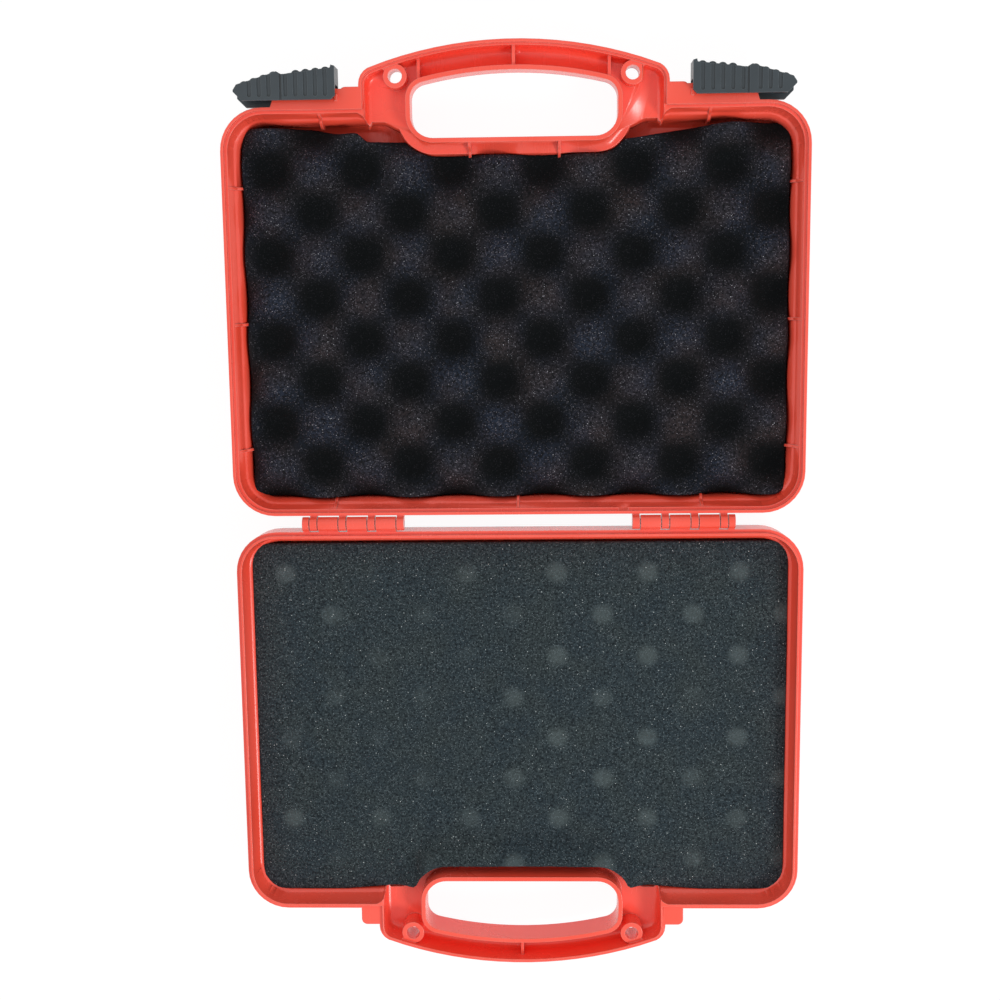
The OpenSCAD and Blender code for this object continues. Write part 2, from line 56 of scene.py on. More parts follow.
class Wire:  # an output socket that can be used in sums
    def __init__(self, sheet, socket):
        self.sheet, self.socket = sheet, socket

    def maths(self, operation, *values, clamp=False):
        return self.sheet.add("ShaderNodeMath", {"operation": operation, "use_clamp": clamp},
                              dict(enumerate(values)))

    def __add__(self, other): return self.maths("ADD", self, other)
    def __radd__(self, other): return self.maths("ADD", other, self)
    def __sub__(self, other): return self.maths("SUBTRACT", self, other)
    def __rsub__(self, other): return self.maths("SUBTRACT", other, self)
    def __mul__(self, other): return self.maths("MULTIPLY", self, other)
    def __rmul__(self, other): return self.maths("MULTIPLY", other, self)
    def __truediv__(self, other): return self.maths("DIVIDE", self, other)
    def __rtruediv__(self, other): return self.maths("DIVIDE", other, self)
    def cosine(self): return self.maths("COSINE", self)
    def clamped(self): return self.maths("ADD", self, 0.0, clamp=True)

    def ramp(self, low, high):  # smooth 0 to 1 between two values
        return self.sheet.add("ShaderNodeMapRange", {"interpolation_type": "SMOOTHSTEP"},
                              {0: self, 1: low, 2: high})


class NodeSheet:  # the nodes of one material or of one geometry tree
    def __init__(self, tree):
        self.tree = tree

    def add(self, kind, settings=None, sockets=None, out=0):
        node = self.tree.nodes.new(kind)
        for name, value in (settings or {}).items():
            setattr(node, name, value)
        for name, value in (sockets or {}).items():
            if isinstance(value, Wire):
                self.tree.links.new(value.socket, node.inputs[name])
            else:
                node.inputs[name].default_value = value
        return Wire(self, node.outputs[out]) if len(node.outputs) else None

    def several(self, wire, outs):  # more outputs of the node that a wire comes from
        return [Wire(self, wire.socket.node.outputs[out]) for out in outs]

    def blendColours(self, amount, first, second):
        return self.add("ShaderNodeMix", {"data_type": "RGBA"}, {0: amount, 6: first, 7: second}, 2)

    def noise(self, place, scale, detail=2.0, rough=0.5):
        return self.add("ShaderNodeTexNoise", None, {"Vector": place, "Scale": scale,
                        "Detail": detail, "Roughness": rough}, "Fac")

    def cells(self, place, scale, out="Distance"):
        return self.add("ShaderNodeTexVoronoi", None, {"Vector": place, "Scale": scale}, out)

    def hollows(self, reach):  # 0 in a narrow groove or corner, 1 in the open
        return self.add("ShaderNodeAmbientOcclusion", {"samples": 8}, {"Distance": reach}, "AO")

    def stretched(self, place, x, y, z):
        return self.add("ShaderNodeVectorMath", {"operation": "MULTIPLY"},
                        {0: place, 1: (x, y, z)})

    def softEdge(self, radius):  # the rounded normal, and how far it leans from the face's own
        rounded = self.add("ShaderNodeBevel", {"samples": 6}, {"Radius": radius})
        flat = self.add("ShaderNodeNewGeometry", None, None, "Normal")
        along = self.add("ShaderNodeVectorMath", {"operation": "DOT_PRODUCT"},
                         {0: rounded, 1: flat}, "Value")
        return rounded, 1 - along

    def bump(self, height, strength, depth, normal=None):
        sockets = {"Strength": strength, "Distance": depth, "Height": height}
        if normal is not None:
            sockets["Normal"] = normal
        return self.add("ShaderNodeBump", None, sockets)

    def wave(self, place, pitchX, pitchY, shiftX, shiftY):  # peaks in rows, every other offset
        x, y = self.several(self.add("ShaderNodeSeparateXYZ", None, {0: place}), (0, 1))
        turn = 2 * math.pi
        return (turn * (x - shiftX) / pitchX).cosine() * (turn * (y - shiftY) / pitchY).cosine()

    def seen(self):  # 1 for rays from the camera, also by way of gloss or glass
        camera, glossy, through = self.several(
            self.add("ShaderNodeLightPath"),
            ("Is Camera Ray", "Is Glossy Ray", "Is Transmission Ray"))
        return (camera + glossy + through).clamped()


def newMaterial(name):
    material = bpy.data.materials.new(name)
    material.use_nodes = True
    material.node_tree.nodes.clear()
    sheet = NodeSheet(material.node_tree)
    place = sheet.add("ShaderNodeTexCoord", None, None, "Object")
    return material, sheet, place


def finishMaterial(sheet, sockets):
    shader = sheet.add("ShaderNodeBsdfPrincipled", None, sockets)
    sheet.add("ShaderNodeOutputMaterial", None, {"Surface": shader})


# Coral red moulding: soft cloudy tint, paler edges that are partly wear and partly a painted
# highlight, painted shade in grooves and corners, fine orange peel
redLook = {"tint": colour(255, 92, 74), "deep": colour(250, 80, 58),
           "cloudScale": 22, "cloudRamp": (0.35, 0.7),
           "wornAndHighlit": colour(255, 158, 146), "edgeRadius": 0.45 * mm, "wearAndHighlightScale": 260,
           "wearAndHighlightRamp": (0.01, 0.14), "wearAndHighlightLeast": 0.35, "wearAndHighlightMore": 0.5,
           "groove": colour(190, 36, 8), "grooveReach": 1.6 * mm, "grooveRamp": (0.1, 0.8),
           "roughness": 0.21, "cloudRough": 0.12, "scuffRough": 0.16,
           "scuffScale": 420, "scuffStretch": 0.12, "scuffRamp": (0.55, 0.8),
           "peelScale": 1100, "peelHeight": 0.035, "peelDepth": 0.4 * mm,
           "specular": 0.5, "coat": 0.15, "coatRoughness": 0.2}


def makeRedPlastic():
    look = redLook
    material, sheet, place = newMaterial("redPlastic")
    cloud = sheet.noise(place, look["cloudScale"], 3.0)
    grain = sheet.noise(place, look["wearAndHighlightScale"])
    rounded, edge = sheet.softEdge(look["edgeRadius"])
    # edges turn paler: partly wear, partly a painted highlight along the rounded rims
    wearAndHighlight = edge.ramp(*look["wearAndHighlightRamp"]) * (look["wearAndHighlightLeast"] + look["wearAndHighlightMore"] * grain)
    tint = sheet.blendColours(cloud.ramp(*look["cloudRamp"]), look["tint"], look["deep"])
    # painted shade: grooves and corners are darkened to a deep orange-brown
    outside = sheet.hollows(look["grooveReach"]).ramp(*look["grooveRamp"])
    tint = sheet.blendColours(outside, look["groove"], tint)
    tint = sheet.blendColours(wearAndHighlight, tint, look["wornAndHighlit"])
    peel = sheet.noise(place, look["peelScale"])
    scuff = sheet.noise(sheet.stretched(place, 1, look["scuffStretch"], 1),
                        look["scuffScale"], 4.0, 0.7)
    gloss = look["roughness"] + look["cloudRough"] * cloud \
        + look["scuffRough"] * scuff.ramp(*look["scuffRamp"])
    finishMaterial(sheet, {"Base Color": tint, "Roughness": gloss,
                           "Normal": sheet.bump(peel, look["peelHeight"], look["peelDepth"],
                                                rounded),
                           "Specular IOR Level": look["specular"], "Coat Weight": look["coat"],
                           "Coat Roughness": look["coatRoughness"]})
    return material


# Satin black latches: slate tone, greyed edges that are partly rubbed by fingers and partly a
# painted highlight, painted shade in the grooves
blackLook = {"tint": colour(54, 64, 70), "deep": colour(40, 48, 53), "cloudScale": 90,
             "wornAndHighlit": colour(120, 134, 142), "edgeRadius": 0.35 * mm, "wearAndHighlightScale": 500,
             "wearAndHighlightRamp": (0.01, 0.16), "wearAndHighlightLeast": 0.3, "wearAndHighlightMore": 0.6,
             "groove": colour(8, 9, 11), "grooveReach": 1.1 * mm, "grooveRamp": (0.35, 0.95),
             "roughness": 0.3, "cloudRough": 0.14,
             "grainScale": 2200, "grainHeight": 0.08, "grainDepth": 0.3 * mm}


def makeBlackPlastic():
    look = blackLook
    material, sheet, place = newMaterial("blackPlastic")
    cloud = sheet.noise(place, look["cloudScale"], 3.0)
    rounded, edge = sheet.softEdge(look["edgeRadius"])
    # edges turn grey: partly rubbing wear, partly a painted highlight
    rubAndHighlight = edge.ramp(*look["wearAndHighlightRamp"]) \
        * (look["wearAndHighlightLeast"] + look["wearAndHighlightMore"] * sheet.noise(place, look["wearAndHighlightScale"], 3.0))
    tint = sheet.blendColours(cloud, look["deep"], look["tint"])
    tint = sheet.blendColours(rubAndHighlight, tint, look["wornAndHighlit"])
    # painted shade: grooves and corners are darkened nearly to black
    outside = sheet.hollows(look["grooveReach"]).ramp(*look["grooveRamp"])
    tint = sheet.blendColours(outside, look["groove"], tint)
    grain = sheet.noise(place, look["grainScale"])
    finishMaterial(sheet, {"Base Color": tint,
                           "Normal": sheet.bump(grain, look["grainHeight"], look["grainDepth"],
                                                rounded),
                           "Roughness": look["roughness"] + look["cloudRough"] * cloud})
    return material


# Drawn steel wire with fine lines along the pin
steelLook = {"tint": colour(190, 190, 194), "dark": colour(140, 140, 146),
             "lineScale": 2400, "lineStretch": 0.02, "lineHeight": 0.1, "lineDepth": 0.1 * mm,
             "roughness": 0.25, "lineRough": 0.2}


def makePinSteel():
    look = steelLook
    material, sheet, place = newMaterial("pinSteel")
    lines = sheet.noise(sheet.stretched(place, look["lineStretch"], 1, 1), look["lineScale"], 3.0)
    finishMaterial(sheet, {"Base Color": sheet.blendColours(lines, look["dark"], look["tint"]),
                           "Metallic": 1.0,
                           "Normal": sheet.bump(lines, look["lineHeight"], look["lineDepth"]),
                           "Roughness": look["roughness"] + look["lineRough"] * lines})
    return material


# Open-celled foam: small cells, some of which catch the light
foamCells = {"patchRamp": (0.3, 0.7), "pitRamp": (0.62, 0.34),
             "fleckPatch": 0.12, "fleckTo": 1.04, "fleckSize": (0.2, 0.55), "fleckShaded": 0.12,
             "sparkStep": 0.004, "sparkSize": (0.1, 0.42),
             "bumpHeight": 0.5, "bumpDepth": 0.5 * mm, "fineShare": 0.3, "fineScale": 2.1,
             "specular": 0.2}
darkFoamLook = {"tint": colour(52, 46, 47), "other": colour(38, 46, 60),
                "valley": colour(4, 7, 9), "pit": colour(16, 17, 20),
                "fleck": colour(112, 110, 118), "spark": colour(196, 198, 204),
                "cellsPerMetre": 1900, "patchScale": 42, "grainScale": 900,
                "fleckFrom": 0.66, "sparkFrom": 0.982, "shadeRamp": (10.5 * mm, 19 * mm)}
greyFoamLook = {"tint": colour(50, 62, 68), "other": colour(56, 66, 68),
                "valley": colour(20, 16, 24), "pit": colour(24, 31, 35),
                "fleck": colour(100, 112, 116), "spark": colour(214, 222, 220),
                "mark": colour(104, 116, 116),
                "cellsPerMetre": 1800, "patchScale": 60, "grainScale": 1050,
                "fleckFrom": 0.55, "sparkFrom": 0.988, "shadeRamp": (10 * mm, 14.6 * mm),
                "marks": {"pitchX": 38.2 * mm, "pitchY": 36 * mm, "shiftX": 16 * mm,
                          "shiftY": -22.8 * mm, "spotRamp": (0.58, 1.0),
                          "unevenScale": 24, "unevenRamp": (0.32, 0.62), "strength": 0.34}}


def pressMarks(sheet, place, marks):  # soft spots, some of them faint
    spots = sheet.wave(place, *(marks[k] for k in ("pitchX", "pitchY", "shiftX", "shiftY")))
    uneven = sheet.noise(place, marks["unevenScale"], 1.0).ramp(*marks["unevenRamp"])
    return spots.ramp(*marks["spotRamp"]) * uneven * marks["strength"]


def makeFoam(name, look):
    material, sheet, place = newMaterial(name)
    cells, scale = foamCells, look["cellsPerMetre"]
    chance = sheet.add("ShaderNodeSeparateColor", None, {0: sheet.cells(place, scale, "Color")})
    middle = sheet.cells(place, scale)
    patch = sheet.noise(place, look["patchScale"])
    fleck = (chance + cells["fleckPatch"] * patch).ramp(look["fleckFrom"], cells["fleckTo"]) \
        * (1 - middle.ramp(*cells["fleckSize"]))
    spark = chance.ramp(look["sparkFrom"], look["sparkFrom"] + cells["sparkStep"]) \
        * (1 - middle.ramp(*cells["sparkSize"]))
    tint = sheet.blendColours(patch.ramp(*cells["patchRamp"]), look["tint"], look["other"])
    grain = sheet.noise(place, look["grainScale"], 3.0, 0.7)
    tint = sheet.blendColours(grain.ramp(*cells["pitRamp"]), tint, look["pit"])
    if "marks" in look:  # pale spots where the peaks of the lid foam press
        tint = sheet.blendColours(pressMarks(sheet, place, look["marks"]), tint, look["mark"])
    height = sheet.add("ShaderNodeSeparateXYZ", None, {0: place}, 2)
    shade = height.ramp(*look["shadeRamp"])  # the valleys lie in their own shadow
    tint = sheet.blendColours(shade, look["valley"], tint)
    lit = cells["fleckShaded"] + (1 - cells["fleckShaded"]) * shade
    tint = sheet.blendColours(fleck * lit, tint, look["fleck"])
    tint = sheet.blendColours(spark * shade, tint, look["spark"])
    fine = sheet.noise(place, scale * cells["fineScale"])
    bump = sheet.bump(middle + cells["fineShare"] * fine, cells["bumpHeight"], cells["bumpDepth"])
    finishMaterial(sheet, {"Base Color": tint, "Roughness": 1.0, "Normal": bump,
                           "Specular IOR Level": cells["specular"]})
    return material


materials = {"red_plastic": makeRedPlastic(), "black_plastic": makeBlackPlastic(),
             "pin_steel": makePinSteel(), "dark_foam": makeFoam("darkFoam", darkFoamLook),
             "grey_foam": makeFoam("greyFoam", greyFoamLook)}
slots = {row["node"]: row["material_slot"] for row in frame["record"]["subparts"]}
for name, node in nodes.items():
    node.data.materials.clear()
    node.data.materials.append(materials[slots[name]])
print("materials made")

# The half case as the shells have it, in mm: y from the hinge line, z from the floor
case = {"halfWidth": 117.5, "rear": 3.4, "front": 168, "rim": 24, "wall": 2.3, "draft": 0.6,
        "cornerR": 17, "edgeR": 10}
# The inner wall steps in to a rounded ledge at the level of the handle floor
ledge = {"top": 16.0, "fall": 5.0, "width": 3.1, "cuts": 12, "cutFrom": 0.08, "cutSteps": 9,
         "cutPower": 1.7, "floorSlack": 0.01, "slack": 0.1, "baySlack": 0.15, "finDepth": 3.2}


def rise(t):
    c = min(1, max(0, t))
    return c * c * (3 - 2 * c)


def ledgeAt(z):
    t = min(1, max(0, (ledge["top"] - z) / ledge["fall"]))
    return ledge["width"] * math.sqrt(1 - (1 - t) ** 2)


def wallRoom(z):  # how far the inner wall stands from the outer edge at height z
    r = case["edgeR"] - case["wall"]
    t = (case["wall"] + r - z) / r
    curve = 0 if t <= 0 else r * (1 - math.sqrt(max(0, 1 - t * t)))
    return case["wall"] + case["draft"] + max(curve, ledgeAt(z))


# The finger bay: the deep front wall runs straight, then turns in round the hand opening
bay = {"openRear": 155.3, "openTurnX": 32.3, "openTurnR": 9, "clear": 0.3, "ease": 3,
       "easeAt": 47.6, "easeWidth": 8}


def bayFront(x, d):  # front wall at x, on an outline moved in by d
    x = abs(x)
    straight = case["front"] - d - bay["ease"] * rise((bay["easeAt"] + d - x) / bay["easeWidth"])
    r = bay["openTurnR"] + d + bay["clear"]
    past = max(0, x - bay["openTurnX"])
    if past >= r:
        return straight
    return min(straight, bay["openRear"] + bay["openTurnR"] - math.sqrt(r * r - past * past))


solidBay = {"side": 11, "sideX": 60, "sideWidth": 10, "mid": 2, "midX": 47, "midWidth": 16,
            "bends": 5, "rimUp": 2.4, "roundSteps": 5}


def solidFront(x, d):  # the same wall as the solids have it, in its straight facets
    b, x = solidBay, abs(x)
    places = [b["sideX"] + d - b["sideWidth"] * k / b["bends"] for k in range(b["bends"] + 1)]
    places += [b["midX"] + d - b["midWidth"] * k / b["bends"] for k in range(b["bends"] + 1)]
    depths = [b["side"] * rise((b["sideX"] + d - p) / b["sideWidth"])
              + b["mid"] * rise((b["midX"] + d - p) / b["midWidth"]) for p in places]
    if x >= places[0]:
        return case["front"] - d
    for (p, q), (m, n) in zip(zip(places, places[1:]), zip(depths, depths[1:])):
        if x >= q:
            return case["front"] - d - (m + (n - m) * (p - x) / (p - q))
    return case["front"] - d - depths[-1]


def moveIn(z, thick):  # how far the wall stands in at height z: thick 0 is its outside
    r = case["edgeR"] - thick
    levels = [(case["rim"] + solidBay["rimUp"], thick)]
    for k in range(solidBay["roundSteps"] + 1):
        a = math.radians(90 * k / solidBay["roundSteps"])
        levels.append((thick + r - r * math.sin(a),
                       thick + case["draft"] + r * (1 - math.cos(a))))
    for (high, first), (low, last) in zip(levels, levels[1:]):
        if z >= low:
            return first + (last - first) * (high - z) / (high - low)
    return levels[-1][1]


# How a copy of a shell is worked over, in mm and degrees, and where its bay wall is moved
rework = {"merge": 0.002, "snap": 0.0005, "flat": 0.2, "flatAfter": 0.05, "sharp": 28,
          "cuts": 24, "cutFrom": 32.5, "cutStep": 1.3, "fromX": 30, "toX": 74,
          "below": 14.2, "beyond": 130, "near": 0.12}


def cutAcross(work, point, normal):
    near = [g for kind in (work.verts, work.edges, work.faces) for g in kind]
    bmesh.ops.bisect_plane(work, geom=near, dist=rework["snap"] * mm, plane_co=point,
                           plane_no=normal)


def joinFlat(work, degrees):
    bmesh.ops.dissolve_limit(work, angle_limit=math.radians(degrees), verts=work.verts,
                             edges=work.edges, delimit=set())


def stepIn(work, sideSign):  # moves the inner wall and the fins on it in to the ledge
    for k in range(ledge["cuts"]):
        below = ledge["fall"] * (k / ledge["cutSteps"]) ** ledge["cutPower"]
        cutAcross(work, (0, 0, (ledge["top"] - ledge["cutFrom"] - below) * mm), (0, 0, 1))

    def onWall(gap, slack=ledge["slack"]):
        return -slack <= gap <= ledge["finDepth"]

    for v in work.verts:
        x, y, z = v.co.x / mm, sideSign * v.co.y / mm, v.co.z / mm
        if z > ledge["top"] or z < case["wall"] - ledge["floorSlack"]:
            continue
        d = moveIn(z, case["wall"])
        shift = case["wall"] + case["draft"] + ledgeAt(z) - d
        if shift <= 0:
            continue
        side = 1 if x > 0 else -1
        r = case["cornerR"] - d
        cx, rearY = case["halfWidth"] - d - r, case["rear"] + d + r
        frontY = case["front"] - d - r
        if abs(x) > cx and (y < rearY or y > frontY):  # a round corner
            cy = rearY if y < rearY else frontY
            arm = Vector((abs(x) - cx, y - cy))
            if onWall(r - arm.length):
                arm *= (arm.length - shift) / arm.length
                v.co.x, v.co.y = side * (cx + arm.x) * mm, sideSign * (cy + arm.y) * mm
        elif onWall(case["halfWidth"] - d - abs(x)) and rearY <= y <= frontY:
            v.co.x -= side * shift * mm
        elif onWall(y - case["rear"] - d):
            v.co.y += sideSign * shift * mm
        elif abs(x) <= cx and onWall(bayFront(x, d) - y, ledge["baySlack"]):
            v.co.y = sideSign * (y + bayFront(x, d + shift) - bayFront(x, d)) * mm


# Merged copy of a shell, with the front wall of the finger bay moved and the ledge added
def reformShell(nodeName, pieceName, sideSign):
    mesh = nodes[nodeName].data.copy()
    mesh.name = pieceName
    work = bmesh.new()
    work.from_mesh(mesh)
    bmesh.ops.remove_doubles(work, verts=work.verts, dist=rework["merge"] * mm)
    joinFlat(work, rework["flat"])
    for k in range(rework["cuts"]):
        for side in (-1, 1):
            cut = side * (rework["cutFrom"] + rework["cutStep"] * k) * mm
            cutAcross(work, (cut, 0, 0), (1, 0, 0))
    moved = 0
    for v in work.verts:
        x, y, z = v.co.x / mm, sideSign * v.co.y / mm, v.co.z / mm
        if not rework["fromX"] < abs(x) < rework["toX"] or z > rework["below"] \
                or y < rework["beyond"]:
            continue
        for thick in (0, case["wall"]):
            d = moveIn(z, thick)
            if abs(y - solidFront(x, d)) < rework["near"]:
                v.co.y = sideSign * bayFront(x, d) * mm
                moved += 1
                break
    stepIn(work, sideSign)
    joinFlat(work, rework["flatAfter"])
    unclosed = sum(1 for e in work.edges if len(e.link_faces) != 2)
    work.to_mesh(mesh)
    work.free()
    mesh.shade_smooth()
    mesh.set_sharp_from_angle(angle=math.radians(rework["sharp"]))
    print(pieceName, "moved", moved, "open edges", unclosed, "faces", len(mesh.polygons))
    return placed(pieceName, mesh)


for nodeName, pieceName, body, sideSign in (("base_shell", "baseShell", "base", -1),
                                            ("lid_shell", "lidShell", "lid", 1)):
    piece = reformShell(nodeName, pieceName, sideSign)
    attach(piece, body)
    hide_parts(nodeName)
print("shells made")

# What both foam sheets share, in mm: rows near an edge, length of the grid, room to the wall
foamGrid = {"edgeRows": [0, 0.25, 0.6, 1.1, 1.8, 2.7], "length": 155, "wallGap": 0.7,
            "lowCornerBelow": 8, "lowCornerR": 10.2}


def spread(length, step):  # places along a side from 0 to 1, closer at both ends
    fine = foamGrid["edgeRows"]
    inner = length - 2 * fine[-1]
    count = max(1, round(inner / step))
    places = list(fine) + [fine[-1] + inner * k / count for k in range(1, count)]
    places += [length - f for f in reversed(fine)]
    return [p / length for p in places]


# One closed foam sheet: a fine grid on top, side rings down to a flat back. edges(x, z) gives
# the rear and front edge at x; the "top" attribute is 1 on the face that has the relief.
def foamSheet(name, sheet, edges, sideSign):
    halfW, flatTop, bend = sheet["halfWidth"], sheet["level"], sheet["roundR"]
    across = spread(2 * halfW, sheet["step"])
    along = spread(foamGrid["length"], sheet["step"])
    nx, ny = len(across), len(along)
    verts, top = [], []

    def cornerIn(x, d, r):
        past = abs(x) - (halfW - d - r)
        return 0 if past <= 0 else r - math.sqrt(max(0, r * r - past * past))

    def place(u, v, d, r, z):
        x = (2 * u - 1) * (halfW - d)
        rear, front = edges(x, z)
        rear += d + cornerIn(x, d, r)
        front -= d + cornerIn(x, d, r)
        return x, rear + (front - rear) * v

    def roundOff(distance):
        t = 1 - min(1, distance / bend)
        return bend * (1 - math.sqrt(max(0, 1 - t * t)))

    for v in along:
        for u in across:
            x, y = place(u, v, 0, sheet["cornerR"], flatTop)
            rear, front = edges(x, flatTop)
            near = min(u, 1 - u) * 2 * halfW
            ends = min(v, 1 - v) * (front - rear)
            drop = max(roundOff(near), roundOff(ends))
            verts.append((x, sideSign * y, flatTop - drop))
            top.append(1.0)
    ring = [(i, 0) for i in range(nx - 1)] + [(nx - 1, j) for j in range(ny - 1)] \
        + [(i, ny - 1) for i in range(nx - 1, 0, -1)] + [(0, j) for j in range(ny - 1, 0, -1)]
    for z in sheet["levels"]:
        d = max(0, wallRoom(z) + foamGrid["wallGap"] - (case["halfWidth"] - halfW))
        r = sheet["cornerR"]
        if z <= foamGrid["lowCornerBelow"]:
            r = max(r, foamGrid["lowCornerR"] - d)
        for i, j in ring:
            x, y = place(across[i], along[j], d, r, z)
            verts.append((x, sideSign * y, z))
            top.append(0.0)
    grid = nx * ny
    count = len(ring)

    def at(level, k):
        return ring[k][1] * nx + ring[k][0] if level < 0 else grid + level * count + k

    faces = [(j * nx + i, j * nx + i + 1, (j + 1) * nx + i + 1, (j + 1) * nx + i)
             for j in range(ny - 1) for i in range(nx - 1)]
    for level in range(-1, len(sheet["levels"]) - 1):
        for k in range(count):
            e = (k + 1) % count
            faces.append((at(level, k), at(level + 1, k), at(level + 1, e), at(level, e)))
    faces.append(tuple(at(len(sheet["levels"]) - 1, k) for k in reversed(range(count))))
    mesh = bpy.data.meshes.new(name)
    mesh.from_pydata([(a * mm, b * mm, c * mm) for a, b, c in verts], [], faces)
    mesh.attributes.new("top", "FLOAT", "POINT").data.foreach_set("value", top)
    mesh.validate()
    work = bmesh.new()
    work.from_mesh(mesh)
    bmesh.ops.recalc_face_normals(work, faces=work.faces)
    work.to_mesh(mesh)
    work.free()
    mesh.shade_smooth()
    return placed(name, mesh)


reliefInputs = ["Pitch X", "Pitch Y", "Shift X", "Shift Y", "Height", "Roughness", "Unevenness",
                "Seed", "Finish"]
reliefNoise = {"roughScale": 900.0, "roughDetail": 2.0, "sagScale": 26.0, "sagDetail": 1.0,
               "sagSeed": 7.0}


# Geometry Nodes tree that raises the top of a sheet by rows of peaks and valleys
def reliefTree():
    tree = bpy.data.node_groups.new("foamRelief", "GeometryNodeTree")
    face = tree.interface
    face.new_socket("Geometry", in_out="INPUT", socket_type="NodeSocketGeometry")
    for name in reliefInputs:
        kind = "NodeSocketMaterial" if name == "Finish" else "NodeSocketFloat"
        face.new_socket(name, in_out="INPUT", socket_type=kind)
    face.new_socket("Geometry", in_out="OUTPUT", socket_type="NodeSocketGeometry")
    sheet = NodeSheet(tree)
    entry = tree.nodes.new("NodeGroupInput")
    given = {s.name: Wire(sheet, s) for s in entry.outputs if s.name}
    wave = sheet.wave(sheet.add("GeometryNodeInputPosition"),
                      *(given[name] for name in reliefInputs[:4]))

    def swell(seed, scale, detail):  # noise from about -0.5 to 0.5
        return sheet.add("ShaderNodeTexNoise", {"noise_dimensions": "4D"},
                         {"W": seed, "Scale": scale, "Detail": detail}, "Fac") - 0.5

    rough = swell(given["Seed"], reliefNoise["roughScale"], reliefNoise["roughDetail"])
    sag = swell(given["Seed"] + reliefNoise["sagSeed"], reliefNoise["sagScale"],
                reliefNoise["sagDetail"])
    lift = given["Height"] * wave + given["Roughness"] * rough + given["Unevenness"] * sag
    share = sheet.add("GeometryNodeInputNamedAttribute", {"data_type": "FLOAT"}, {"Name": "top"})
    offset = sheet.add("ShaderNodeCombineXYZ", None, {2: lift * share})
    moved = sheet.add("GeometryNodeSetPosition", None,
                      {"Geometry": given["Geometry"], "Offset": offset})
    real = sheet.add("GeometryNodeRealizeInstances", None, {0: moved})
    dressed = sheet.add("GeometryNodeSetMaterial", None,
                        {"Geometry": real, "Material": given["Finish"]})
    sheet.add("NodeGroupOutput", None, {0: dressed})
    return tree


relief = reliefTree()


def shaped(piece, values):  # runs the tree on a piece and keeps the result as a plain mesh
    modifier = piece.modifiers.new("foamRelief", "NODES")
    modifier.node_group = relief
    for item in relief.interface.items_tree:
        if item.item_type == "SOCKET" and item.in_out == "INPUT" and item.name in values:
            modifier[item.identifier] = values[item.name]
    bpy.context.view_layer.update()
    ready = piece.evaluated_get(bpy.context.evaluated_depsgraph_get())
    mesh = bpy.data.meshes.new_from_object(ready)
    piece.modifiers.clear()
    piece.data = mesh
    mesh.shade_smooth()


# Egg-crate foam of the lid, in mm; each cut of its front edge has a depth, a start and a width
lidFoamSheet = {"halfWidth": 111, "step": 1.25, "cornerR": 5, "roundR": 1.6, "level": 14.1,
                "levels": [7.2, 5.4, 4.0, 2.6], "rear": 9.9, "front": 160.6, "bayGap": 0.6,
                "leftCuts": [(2.4, 84, 14), (3.4, 64, 5), (4.2, 44, 9)],
                "rightCuts": [(2.4, 92, 30), (3.4, 70, 26), (4.2, 46, 18)]}


def lidFoamEdges(x, z):
    s = lidFoamSheet
    front = s["front"] - sum(depth * rise((at - abs(x)) / width)
                             for depth, at, width in s["rightCuts" if x > 0 else "leftCuts"])
    return s["rear"], min(front, bayFront(x, wallRoom(z) + s["bayGap"]))


lidFoam = foamSheet("lidFoam", lidFoamSheet, lidFoamEdges, 1)
shaped(lidFoam, {"Pitch X": 37 * mm, "Pitch Y": 34.4 * mm, "Shift X": -7.3 * mm,
                 "Shift Y": 144 * mm, "Height": 5.4 * mm, "Roughness": 0.5 * mm,
                 "Unevenness": 1.2 * mm, "Seed": 3.0, "Finish": materials["dark_foam"]})

# Flat foam of the base, in mm: it curls up where the finger bay presses it back
baseFoamSheet = {"halfWidth": 112.9, "step": 1.4, "cornerR": 4.5, "roundR": 1.1, "level": 15.4,
                 "levels": [12.6, 9.0, 6.4, 4.2, 2.6], "rear": 9.6, "front": 163.6, "bayGap": 0.4,
                 "press": 2.6, "pressX": 88, "pressWidth": 46,
                 "curl": 7.6, "curlX": 56, "curlSide": 16, "curlWidth": 16,
                 "curlFrom": 10, "curlRise": 5}


def baseFoamEdges(x, z):
    s = baseFoamSheet
    front = s["front"] - s["press"] * rise((s["pressX"] - abs(x)) / s["pressWidth"])
    return s["rear"], min(front, bayFront(x, wallRoom(z) + s["bayGap"]))


def curlUp(piece, sideSign):
    s = baseFoamSheet
    for v in piece.data.vertices:
        x, y = v.co.x / mm, sideSign * v.co.y / mm
        front = baseFoamEdges(x, s["level"])[1]
        press = rise((s["curlX"] - abs(x)) / s["curlSide"])
        share = rise((y - front + s["curlWidth"]) / s["curlWidth"])
        if v.co.z > s["curlFrom"] * mm:
            v.co.z += s["curl"] * mm * press * share \
                * min(1, (v.co.z / mm - s["curlFrom"]) / s["curlRise"])


baseFoam = foamSheet("baseFoam", baseFoamSheet, baseFoamEdges, -1)
shaped(baseFoam, {"Pitch X": 37 * mm, "Pitch Y": 34.4 * mm, "Shift X": -5 * mm,
                  "Shift Y": -20 * mm, "Height": 0.0, "Roughness": 0.35 * mm,
                  "Unevenness": 0.8 * mm, "Seed": 11.0, "Finish": materials["grey_foam"]})
curlUp(baseFoam, -1)
for piece, body, node, slot in ((lidFoam, "lid", "lid_foam", "dark_foam"),
                                (baseFoam, "base", "base_foam", "grey_foam")):
    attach(piece, body)
    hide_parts(node)
print("foam sheets made")

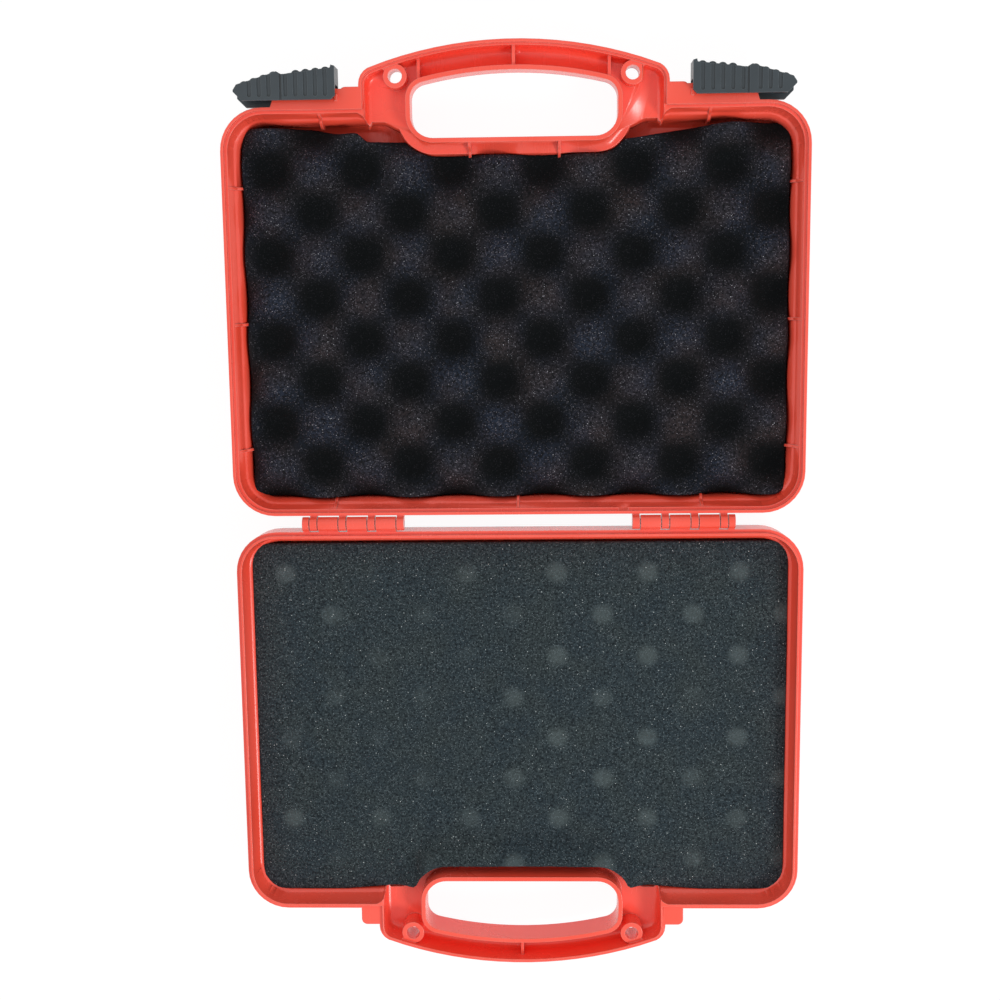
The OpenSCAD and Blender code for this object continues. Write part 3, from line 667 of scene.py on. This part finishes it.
# Floor, light and camera, in metres and degrees
studio = {"floorSize": 6, "floorDrop": 0.05 * mm, "floorGlow": 0.9, "glowStrength": 1.05,
          "paperDark": (0.93, 0.93, 0.93, 1), "paperLight": (0.95, 0.95, 0.95, 1),
          "paperScale": 30, "white": (1, 1, 1, 1), "worldStrength": 0.64,
          "keyLamp": {"power": 6.8, "size": 0.32, "place": (0.75, -0.55, 0.95)},
          "fillLamp": {"power": 2.2, "size": 0.9, "place": (-0.8, 0.6, 1.0)}}
cameraLook = {"sensor": 36, "focalShare": 1451.0 / 1000, "near": 0.01, "far": 50,
              "turn": (8.641, -1.831, 0.415), "place": (0.011796, 0.099199, 0.614267)}


def makeFloor():
    s, z = studio["floorSize"] / 2, -studio["floorDrop"]
    mesh = bpy.data.meshes.new("floor")
    mesh.from_pydata([(-s, -s, z), (s, -s, z), (s, s, z), (-s, s, z)], [], [(0, 1, 2, 3)])
    floor = placed("floor", mesh)
    material, sheet, place = newMaterial("floorWhite")
    paper = sheet.noise(place, studio["paperScale"])
    tint = sheet.blendColours(paper, studio["paperDark"], studio["paperLight"])
    diffuse = sheet.add("ShaderNodeBsdfDiffuse", None, {"Color": tint})
    glow = sheet.add("ShaderNodeEmission", None, {"Color": studio["white"],
                                                  "Strength": studio["glowStrength"]})
    mixed = sheet.add("ShaderNodeMixShader", None,
                      {0: sheet.seen() * studio["floorGlow"], 1: diffuse, 2: glow})
    sheet.add("ShaderNodeOutputMaterial", None, {"Surface": mixed})
    mesh.materials.append(material)


def makeWorld():
    world = bpy.data.worlds.new("studioWorld")
    scene.world = world
    world.use_nodes = True
    world.node_tree.nodes.clear()
    sheet = NodeSheet(world.node_tree)
    strength = studio["worldStrength"] + (1 - studio["worldStrength"]) * sheet.seen()
    light = sheet.add("ShaderNodeBackground", None, {"Color": studio["white"],
                                                     "Strength": strength})
    sheet.add("ShaderNodeOutputWorld", None, {"Surface": light})


def makeLamp(name):  # a square lamp that points at the origin
    look = studio[name]
    lamp = bpy.data.lights.new(name, "AREA")
    lamp.shape, lamp.size, lamp.energy = "SQUARE", look["size"], look["power"]
    aim = (-Vector(look["place"])).to_track_quat("-Z", "Y")
    placed(name, lamp).matrix_world = Matrix.Translation(look["place"]) @ aim.to_matrix().to_4x4()


def makeCamera():
    look = cameraLook
    camera = bpy.data.cameras.new("camera")
    camera.sensor_width, camera.lens = look["sensor"], look["focalShare"] * look["sensor"]
    camera.clip_start, camera.clip_end = look["near"], look["far"]
    turnX, turnY, turnZ = (math.radians(a) for a in look["turn"])
    turn = Matrix.Rotation(-turnX, 4, "X") @ Matrix.Rotation(-turnY, 4, "Y") \
        @ Matrix.Rotation(-turnZ, 4, "Z")
    scene.camera = placed("camera", camera)
    scene.camera.matrix_world = Matrix.Translation(look["place"]) @ turn


makeFloor()
makeWorld()
makeLamp("keyLamp")
makeLamp("fillLamp")
makeCamera()
scene.view_settings.view_transform = "Standard"
print("floor, light and camera made")
